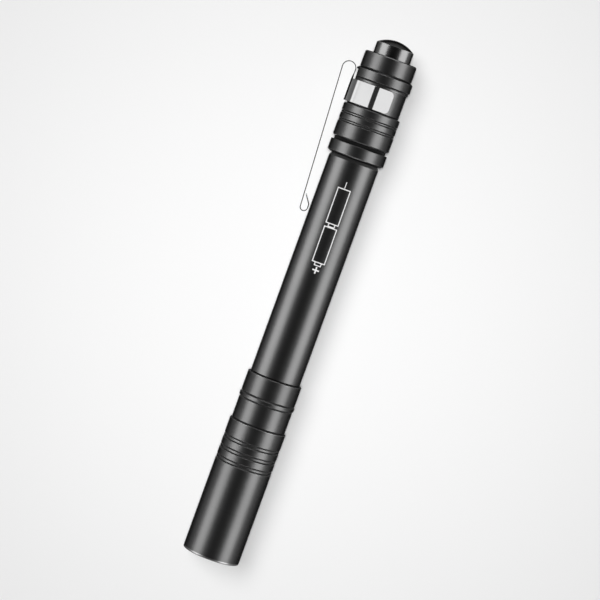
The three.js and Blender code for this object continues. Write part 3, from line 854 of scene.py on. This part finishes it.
def makeDome():
    rows = []
    for k in range(dome["steps"] + 1):
        angle = pi / 2 * k / dome["steps"]
        place = domeBase - (domeBase - domeTop) * cos(angle)
        rows.append((dome["radius"] * sin(angle), place, 0.0))
    rows.append((0.0, domeBase, 0.0))
    piece = lathe("ledBead", rows, False, dome["sides"])
    return dress(piece, "ledPhosphor", "led_phosphor", "head", "led_dome")


# Wire and strip: sections joined one to the next, closed at both ends
def loft(name, sections):
    form = bmesh.new()
    rows = [[form.verts.new(point) for point in section] for section in sections]
    for first, second in zip(rows, rows[1:]):
        for i in range(len(first)):
            j = (i + 1) % len(first)
            form.faces.new((first[i], first[j], second[j], second[i]))
    form.faces.new(rows[0])
    form.faces.new(rows[-1][::-1])
    return meshPiece(name, form)


# Springs: round wire wound from the top at the front
springs = table(("node", "wire", "turns", "steps", "sides"), {
    "tailSpring": ("tail_spring", 0.6, 5, 32, 12),
    "switchSpring": ("switch_spring", 0.4, 2.5, 32, 12),
})


def makeSpring(name):
    spring = springs[name]
    front, back = endsOf(spring["node"])
    low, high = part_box(spring["node"])
    wire = spring["wire"] / 2
    radius = (high.z - low.z) / 2 / mm - wire
    steps = math.ceil(spring["turns"] * spring["steps"])
    sections = []
    for k in range(steps + 1):
        share = k / steps
        wound = pi / 2 - 2 * pi * spring["turns"] * share
        middle = front + wire + (back - front - 2 * wire) * share
        section = []
        for side in range(spring["sides"]):
            angle = 2 * pi * side / spring["sides"]
            section.append(onAxis(radius + wire * cos(angle), middle + wire * sin(angle), wound))
        sections.append(section)
    return dress(loft(name, sections), "springSteel", "spring_steel", "cap", spring["node"])


# The button's spring, between the switch housing and the button, with a mesh of its own
def makeSwitchSpring():
    piece = makeSpring("switchSpring")
    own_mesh(piece)
    return piece


# Outline of a strip's section, (across, through), with its four edges rolled
def stripSection(halfWidth, halfThick, edge, across=6, roll=3):
    points = []
    corners = [(1, 1, 0.0), (-1, 1, 0.5), (-1, -1, 1.0), (1, -1, 1.5)]
    for sideways, through, quarter in corners:
        for k in range(roll + 1):
            angle = (quarter + 0.5 * k / roll) * pi
            points.append((
                sideways * (halfWidth - edge) + edge * cos(angle),
                through * (halfThick - edge) + edge * sin(angle),
            ))
        if through * sideways > 0:
            for k in range(1, across):
                x = sideways * (halfWidth - edge) * (1 - 2 * k / across)
                points.append((x, through * halfThick))
    return points


def cornerInset(fromEnd, corner):
    if fromEnd >= corner:
        return 0.0
    return corner - math.sqrt(corner ** 2 - (corner - fromEnd) ** 2)


# Clip collar: a C-shaped band in the cap's neck, open towards +Y
collarFront, collarBack = endsOf("clip_collar")
collar = {
    "inner": cap["neck"] + 0.06, "thick": 0.42, "back": collarBack + 0.15,
    "opening": 118, "corner": 1.1, "edge": 0.1, "steps": 72, "endSteps": 8,
}


def makeCollar():
    middle = (collarFront + collar["back"]) / 2
    halfWidth = (collar["back"] - collarFront) / 2
    radius = collar["inner"] + collar["thick"] / 2
    start = radians(collar["opening"] / 2)
    length = (2 * pi - 2 * start) * radius
    corner = collar["corner"]
    count = collar["endSteps"]
    ends = [corner * (1 - cos(pi / 2 * k / count)) for k in range(count + 1)]
    steps = collar["steps"]
    plain = [corner + (length - 2 * corner) * k / steps for k in range(1, steps)]
    stations = ends + plain + [length - d for d in reversed(ends)]
    sections = []
    for along in stations:
        fromEnd = min(along, length - along)
        half = halfWidth - cornerInset(fromEnd, corner)
        angle = start + along / radius
        section = stripSection(half, collar["thick"] / 2, collar["edge"])
        sections.append([onAxis(radius + through, middle + across, angle) for across, through in section])
    piece = loft("clipCollar", sections)
    return dress(piece, "collarSteel", "polished_steel", "clip", "clip_collar")


# Clip strip: tab on the collar, bend over the band, long arm, hooked tip
strip = {
    "thick": 0.2, "tabThick": 0.44, "width": 5.0, "edge": 0.006, "corner": 1.0,
    "tab": collar["inner"] + 0.63, "tabSteps": 8, "thinPlace": capFront + 15.4, "leadSteps": 6,
    "bendSide": collar["inner"] + 0.55, "bendRadius": 1.65, "bendPlace": capFront + 16.27, "bendSteps": 20,
    "legSteps": 30, "hookPlace": capFront - 19.05, "hookInside": tube["grip"] + 0.43, "hookRadius": 0.9,
    "hookStraight": 0.7, "hookSteps": 14,
    "tipRadius": 1.0, "tipBend": 34, "tipBendSteps": 8, "tipLength": 2.4, "tipSteps": 10,
    "flexStart": (0.15, -1.0, 0.0), "flexReach": 2,
}


# Paths of (distance from axis, place). An arc is given by its side nearest the axis
def arcPath(inside, place, radius, fromAngle, toAngle, steps):
    path = []
    for k in range(steps + 1):
        angle = radians(fromAngle + (toAngle - fromAngle) * k / steps)
        path.append((inside + radius + radius * cos(angle), place + radius * sin(angle)))
    return path


def linePath(start, end, steps):
    return [(start[0] + (end[0] - start[0]) * k / steps, start[1] + (end[1] - start[1]) * k / steps)
            for k in range(1, steps)]


def stripPath():
    tabStart = (strip["tab"], collarFront)
    tabEnd = (strip["tab"], collar["back"])
    inside = strip["hookInside"]
    place = strip["hookPlace"]
    bend = arcPath(strip["bendSide"], strip["bendPlace"], strip["bendRadius"], 180, 0, strip["bendSteps"])
    hook = arcPath(inside, place, strip["hookRadius"], 0, -180, strip["hookSteps"])
    tip = arcPath(inside, place + strip["hookStraight"], strip["tipRadius"], 180, 180 - strip["tipBend"],
                  strip["tipBendSteps"])
    lean = radians(strip["tipBend"])
    reach = strip["tipLength"]
    end = (tip[-1][0] + reach * sin(lean), tip[-1][1] + reach * cos(lean))
    path = [tabStart] + linePath(tabStart, tabEnd, strip["tabSteps"])
    path += [tabEnd] + linePath(tabEnd, bend[0], strip["leadSteps"])
    path += bend + linePath(bend[-1], hook[0], strip["legSteps"]) + hook + tip
    return path + linePath(tip[-1], end, strip["tipSteps"]) + [end]


def makeStrip():
    path = [Vector(point) for point in stripPath()]
    tabLength = collar["back"] - collarFront
    thinLength = strip["thinPlace"] - collarFront
    lengths = [0.0]
    for first, second in zip(path, path[1:]):
        lengths.append(lengths[-1] + (second - first).length)
    sections = []
    for i, point in enumerate(path):
        tangent = (path[min(i + 1, len(path) - 1)] - path[max(i - 1, 0)]).normalized()
        outward = Vector((tangent.y, -tangent.x))
        half = strip["width"] / 2 - cornerInset(lengths[-1] - lengths[i], strip["corner"])
        section = []
        thinned = min(1.0, max(0.0, (lengths[i] - tabLength) / (thinLength - tabLength)))
        thick = strip["tabThick"] + (strip["thick"] - strip["tabThick"]) * thinned
        for across, through in stripSection(half, thick / 2, strip["edge"]):
            spot = point + outward * through
            section.append(Vector((frontX - spot.y * mm, axisY - spot.x * mm, axisZ + across * mm)))
        sections.append(section)
    piece = loft("clipStrip", sections)
    dress(piece, "clipSteel", "polished_steel", None, "clip_root", "clip_arm")
    across = Vector(strip["flexStart"]).normalized()
    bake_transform(piece)
    piece.visible_glossy = False  # the collar mirrors the room, not the strip
    return piece


# Polarity marks printed on the grip: two cell outlines, a plus and a minus, as a thin film of ink
marks = {
    "radius": tube["grip"], "film": 0.012, "line": 0.24, "halfWidth": 1.67, "nubHalf": 0.89,
    "side": 0.2, "lean": 0.008, "step": 0.25,
    "front": tube["gripFront"] + 30.5, "cellLength": 9.1, "nubLength": 0.77,
    "plusHalf": 0.85, "plusLine": 0.36, "plusGap": 0.2,
    "minusLength": 1.65, "minusLine": 0.18, "minusGap": 0.05,
}


# One bar of ink, cut small enough to follow the curve. The print leans a little about its middle
def inkBox(form, front, back, left, right):
    steps = max(1, math.ceil((right - left) / marks["step"]))
    middle = marks["front"] + marks["cellLength"]
    film = marks["film"]
    rows = []
    for k in range(steps + 1):
        row = []
        for place, height in ((front, 0.0), (back, 0.0), (back, film), (front, film)):
            lean = marks["lean"] * (place - middle)
            across = left + (right - left) * k / steps + marks["side"] - lean
            angle = pi / 2 - across / marks["radius"]
            row.append(form.verts.new(onAxis(marks["radius"] + height, place, angle)))
        rows.append(row)
    for near, far in zip(rows, rows[1:]):
        form.faces.new((near[3], near[2], far[2], far[3]))
        form.faces.new((near[0], far[0], far[1], near[1]))
        form.faces.new((near[0], near[3], far[3], far[0]))
        form.faces.new((near[1], near[2], far[2], far[1]))
    form.faces.new(rows[0])
    form.faces.new(rows[-1])


def makeMarks():
    form = bmesh.new()
    line = marks["line"]
    half = marks["halfWidth"]
    nub = marks["nubHalf"]
    pitch = marks["cellLength"] + marks["nubLength"]
    for front in (marks["front"], marks["front"] + pitch):
        back = front + marks["cellLength"]
        nubFront = front - marks["nubLength"]
        inkBox(form, front, front + line, -half, half)
        inkBox(form, back - line, back, -half, half)
        for sideways in (-1, 1):
            edges = sorted((sideways * half, sideways * (half - line)))
            inkBox(form, front + line, back - line, *edges)
            edges = sorted((sideways * nub, sideways * (nub - line)))
            inkBox(form, nubFront + line, front, *edges)
        inkBox(form, nubFront, nubFront + line, -nub, nub)
    arm = marks["plusHalf"]
    bold = marks["plusLine"] / 2
    plusPlace = marks["front"] - marks["nubLength"] - marks["plusGap"] - arm
    inkBox(form, plusPlace - arm, plusPlace + arm, -bold, bold)
    inkBox(form, plusPlace - bold, plusPlace + bold, -arm, -bold)
    inkBox(form, plusPlace - bold, plusPlace + bold, bold, arm)
    minusFront = marks["front"] + pitch + marks["cellLength"] + marks["minusGap"]
    thin = marks["minusLine"] / 2
    inkBox(form, minusFront, minusFront + marks["minusLength"], -thin, thin)
    return dress(meshPiece("polarityMarks", form), "whiteInk", "plastic_white", "barrel")


pieces = [
    makeHead(), *makeTube(), makeCap(), makeButton(), makeLens(), makeReflector(), makeDome(),
    makeCollar(), makeStrip(), makeMarks(), makeSpring("tailSpring"), makeSwitchSpring(),
    *[makeRing(name) for name in rings],
]
print("pieces made:", len(pieces))

# Inner pieces keep their solids and get a finish each
innerFinishes = {
    "led_gasket": "whitePlastic", "led_package": "ledCeramic", "led_board": "boardWhite",
    "led_pill": "plainAluminium", "led_lead_negative": "blackSleeve", "led_lead_positive": "redSleeve",
    "driver_board": "boardGreen", "driver_chip": "chipBlack", "driver_inductor": "ferriteGrey",
    "positive_contact": "brass", "front_cell_can": "frontJacket", "rear_cell_can": "rearJacket",
    "front_cell_washer": "fibreCard", "rear_cell_washer": "fibreCard",
    "front_cell_cap": "nickel", "rear_cell_cap": "nickel",
    "retaining_ring": "brass", "switch_board": "boardGreen", "switch_housing": "blackPlastic",
    "switch_contact": "brass", "switch_plunger": "whitePlastic", "button_seal": "blackRubber",
}
for nodeName, finishName in innerFinishes.items():
    setFinish(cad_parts[nodeName].data, finishName)
print("inner pieces dressed:", len(innerFinishes))


# Floor: pale, with a painted pool of light: lighter in the middle, darker away from it
floorLook = {
    "half": 3.0, "centre": (-4.6, -1.7), "middle": grey(0.937), "far": grey(0.706), "reach": 0.17,
    "fleck": 0.0008, "fleckShare": 0.04, "roughness": 0.9,
}


def makeFloor():
    look = floorLook
    half = look["half"]
    level = axisZ - shell * mm
    mesh = bpy.data.meshes.new("floor")
    corners = [(-half, -half, level), (half, -half, level), (half, half, level), (-half, half, level)]
    mesh.from_pydata(corners, [], [(0, 1, 2, 3)])
    floor = newObject("floor", mesh)
    floor.location = (look["centre"][0] * mm, look["centre"][1] * mm, 0)
    material, tree = newFinish("floorWithPaintedPool")
    # painted light: the colour runs from the lit middle colour to the darker far colour with distance from
    # the centre
    distance = tree.node("ShaderNodeVectorMath", {"operation": "LENGTH"}, {0: tree.place()}).out("Value")
    share = tree.share(distance, 0.0, look["reach"])
    fleck = tree.noise(look["fleck"]) * look["fleckShare"]
    colour = tree.blend(share, look["middle"], look["far"])
    tree.finish({
        "Base Color": tree.blend(fleck, colour, look["far"]),
        "Roughness": look["roughness"],
        "Specular IOR Level": 0.0,
    })
    mesh.materials.append(material)
    floor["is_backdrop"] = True
    return floor


# Lamps: soft boxes beside the barrel, cards past its ends and over the collar, suns for the floor
softBoxes = table(("fromVertical", "distance", "width", "length", "radiance", "lit"), {
    "tubeBox": (64.5, 0.5, 0.39, 0.6, 10.4, ["batteryTube"]),
    "endBox": (59.0, 0.5, 0.345, 0.6, 9.7, ["headShell", "tubeBands", "tubeRing", "tailCap"]),
    "buttonBox": (66.0, 0.5, 0.455, 0.6, 7.2, ["pushButton"]),
})
plainBox = {"fromVertical": 58.6, "distance": 0.5, "width": 0.41, "length": 0.6, "radiance": 3.8}
endCard = {"fromVertical": 80.0, "distance": 0.5, "width": 0.19, "length": 0.35, "radiance": 6.5}
collarCard = {"height": 0.6, "width": 5.0, "length": 2.0, "radiance": 0.82,
              "edges": {"cardLeft": (-0.255, -1), "cardRight": (-0.029, 1)}}
floorSuns = {
    "overhead": {"towards": (-0.06, 0.0, 1.0), "spread": 8, "strength": 2.05},
    "side": {"towards": (-0.28, -0.40, 1.0), "spread": 32, "strength": 1.30},
}


def newLamp(name, kind, spot, towards, lit):
    lamp = newObject(name, bpy.data.lights.new(name, kind))
    lamp.location = spot
    lamp.rotation_mode = "QUATERNION"
    lamp.rotation_quaternion = Vector(towards).to_track_quat("-Z", "Y")
    lamp.visible_camera = False
    lamp.light_linking.receiver_collection = lit
    return lamp


def areaLamp(name, spot, towards, card, lit):
    lamp = newLamp(name, "AREA", spot, towards, lit)
    lamp.data.shape = "RECTANGLE"
    lamp.data.size = card["length"]
    lamp.data.size_y = card["width"]
    lamp.data.energy = card["radiance"] * pi * card["length"] * card["width"]


def tiltedPair(name, card, outward, lit):
    tilt = radians(card["fromVertical"])
    for side in (-1, 1):
        away = Vector(outward) * side * sin(tilt) + Vector((0, 0, cos(tilt)))
        areaLamp(name, Vector((0, axisY, axisZ)) + away * card["distance"], -away, card, lit)


# The shown pieces with these names, or all the others
def pieceGroup(name, names, others=False):
    group = bpy.data.collections.new(name)
    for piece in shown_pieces():
        if (piece.name in names) != others:
            group.objects.link(piece)
    return group


def makeLamps(floor):
    ownLight = ["clipCollar", "clipStrip"]
    for name, box in softBoxes.items():
        tiltedPair(name, box, (0, 1, 0), pieceGroup(name + "Lit", box["lit"]))
        ownLight += box["lit"]
    tiltedPair("plainBox", plainBox, (0, 1, 0), pieceGroup("plainBoxLit", ownLight, True))
    turned = softBoxes["tubeBox"]["lit"] + softBoxes["endBox"]["lit"]
    tiltedPair("endCard", endCard, (1, 0, 0), pieceGroup("turnedLit", turned))
    cardLit = pieceGroup("cardLit", ["clipCollar"])
    for name, (edge, sideways) in collarCard["edges"].items():
        spot = (0, axisY + edge + sideways * collarCard["width"] / 2, axisZ + collarCard["height"])
        areaLamp(name, spot, (0, 0, -1), collarCard, cardLit)
    floorLit = bpy.data.collections.new("floorLit")
    floorLit.objects.link(floor)
    casters = pieceGroup("casters", ["clipStrip"], True)
    for name, sun in floorSuns.items():
        lamp = newLamp(name + "Sun", "SUN", (0, 0, 1), -Vector(sun["towards"]), floorLit)
        lamp.data.angle = radians(sun["spread"])
        lamp.data.energy = sun["strength"]
        lamp.light_linking.blocker_collection = casters


# Surroundings: pale at the horizon, dark overhead
room = {"horizon": grey(0.8), "overhead": grey(0.026), "from": 0.1, "to": 0.125}


def makeRoom():
    world = bpy.data.worlds.new("room")
    world.use_nodes = True
    bpy.context.scene.world = world
    tree = NodeTree(world.node_tree)
    height = tree.node("ShaderNodeSeparateXYZ", None, {0: tree.node("ShaderNodeTexCoord").out("Generated")})
    share = tree.share(height.out("Z"), room["from"], room["to"])
    colour = tree.blend(share, room["horizon"], room["overhead"])
    backdrop = tree.node("ShaderNodeBackground", None, {"Color": colour, "Strength": 1.0})
    tree.node("ShaderNodeOutputWorld", None, {"Surface": backdrop})


# Camera: almost straight down, over the tail, turned so that the tail is at the top right
camera = {"lens": 148.05, "height": 0.607, "over": 111, "aim": 66.58, "aimSide": -0.82, "roll": 19.94,
          "farClip": 10}


def makeCamera():
    data = bpy.data.cameras.new("camera")
    data.lens = camera["lens"]
    data.clip_end = camera["farClip"]
    view = newObject("camera", data)
    spot = Vector((frontX - camera["over"] * mm, axisY, camera["height"]))
    aim = Vector((frontX - camera["aim"] * mm, axisY + camera["aimSide"] * mm, axisZ))
    back = (spot - aim).normalized()
    roll = radians(camera["roll"])
    up = Vector((-cos(roll), -sin(roll), 0))
    right = up.cross(back).normalized()
    up = back.cross(right)
    turn = Matrix((right, up, back)).transposed()
    view.matrix_world = Matrix.Translation(spot) @ turn.to_4x4()
    bpy.context.scene.camera = view


makeLamps(makeFloor())
makeRoom()
makeCamera()
bpy.context.scene.view_settings.view_transform = "Standard"
print("stage, lamps and camera set")
